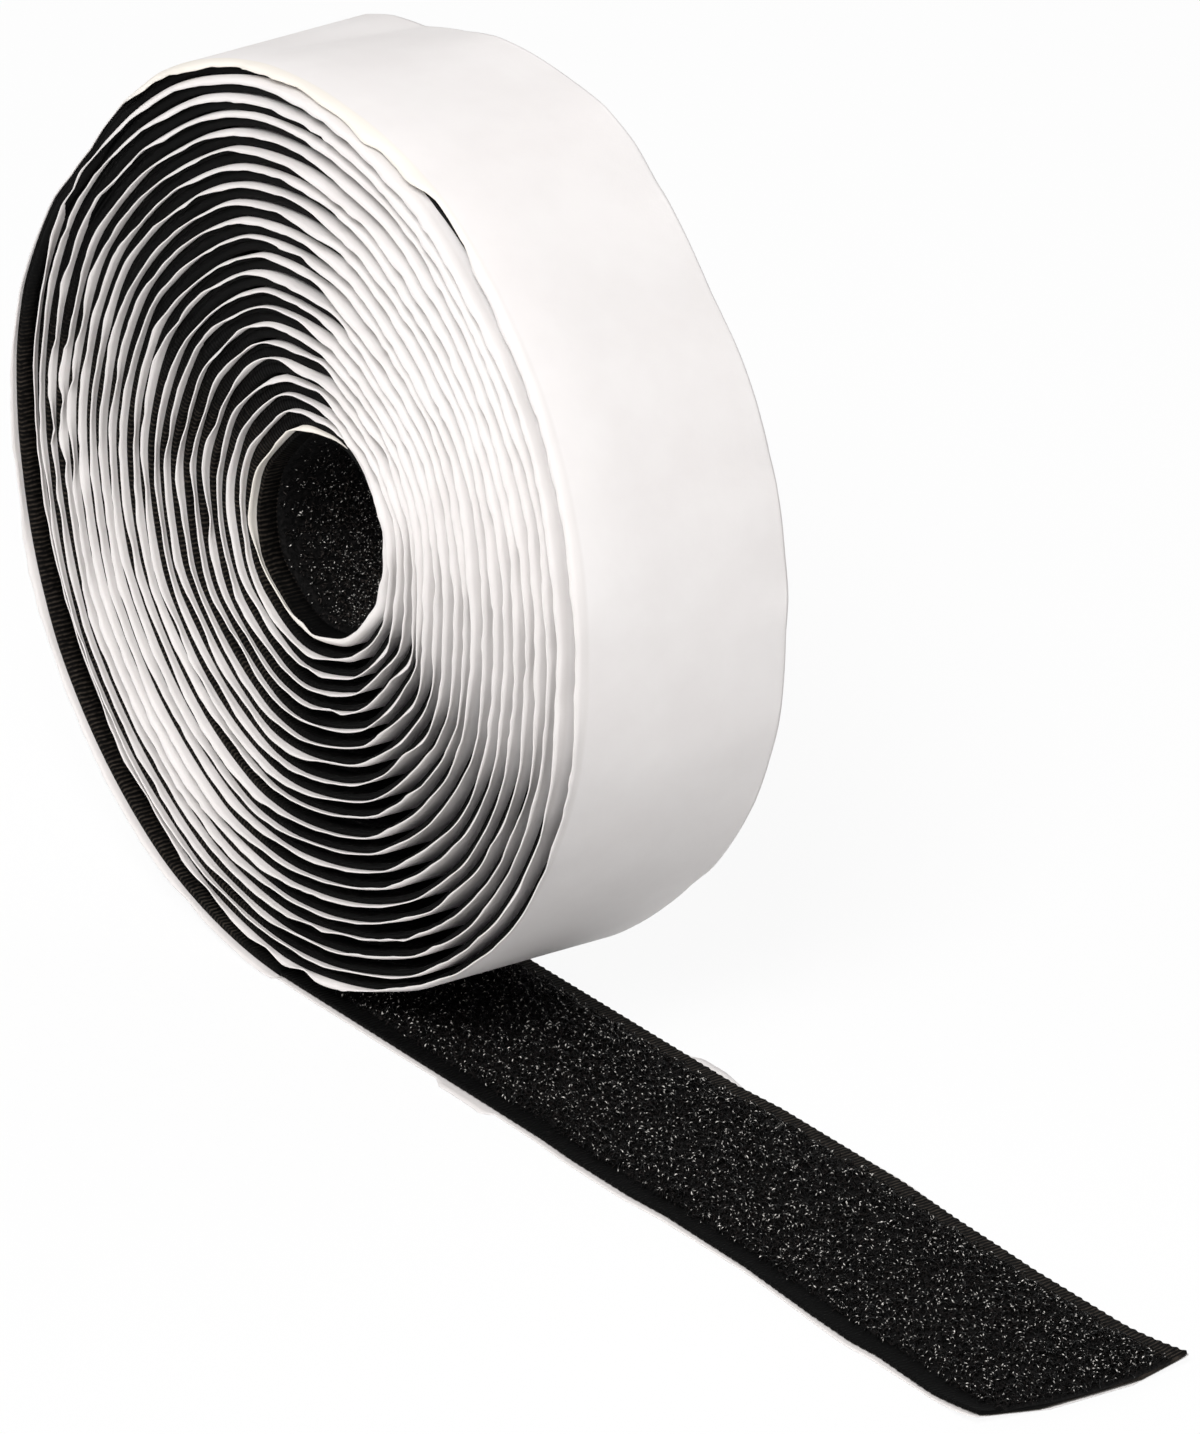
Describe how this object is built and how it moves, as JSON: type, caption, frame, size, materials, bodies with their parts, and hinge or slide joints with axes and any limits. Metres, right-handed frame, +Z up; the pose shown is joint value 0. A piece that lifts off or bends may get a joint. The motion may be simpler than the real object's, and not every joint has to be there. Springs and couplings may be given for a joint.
{
  "type": "hook and loop tape roll",
  "caption": "Coreless roll of black adhesive-backed loop tape on a white paper release liner, with a flat free tail that lifts and a tape end that peels off its liner.",
  "frame": {"origin": "on the flat underside, straight below the roll's axis", "axes": "+X along the tail towards its cut end, +Y across the tape away from the viewer's side, +Z up"},
  "size_m": [0.1762, 0.0318, 0.1042],
  "materials": {
    "liner_paper": "silicone-coated white paper, matt outside",
    "adhesive": "clear tacky acrylic on black fabric",
    "woven_nylon": "fine ribbed black weave",
    "loop_nylon": "dense black loops of glossy monofilament"
  },
  "bodies": {
    "roll": {"wound_release_liner": "liner_paper", "wound_woven_ground": "woven_nylon", "wound_loop_pile": "loop_nylon"},
    "tail": {"tail_release_liner": "liner_paper", "tail_adhesive": "adhesive", "tail_woven_ground": "woven_nylon", "tail_loop_pile": "loop_nylon"},
    "tape_end": {"end_adhesive": "adhesive", "end_woven_ground": "woven_nylon", "end_loop_pile": "loop_nylon"}
  },
  "joints": [
    {"name": "tail_lift", "type": "hinge", "parent": "roll", "child": "tail", "pos_m": [0.026, 0, 0.00135], "axis": [0, -1, 0], "range_deg": [0, 45]},
    {"name": "tape_peel", "type": "hinge", "parent": "tail", "child": "tape_end", "pos_m": [0.1, 0, 0.00135], "axis": [0, -1, 0], "range_deg": [0, 120]}
  ]
}
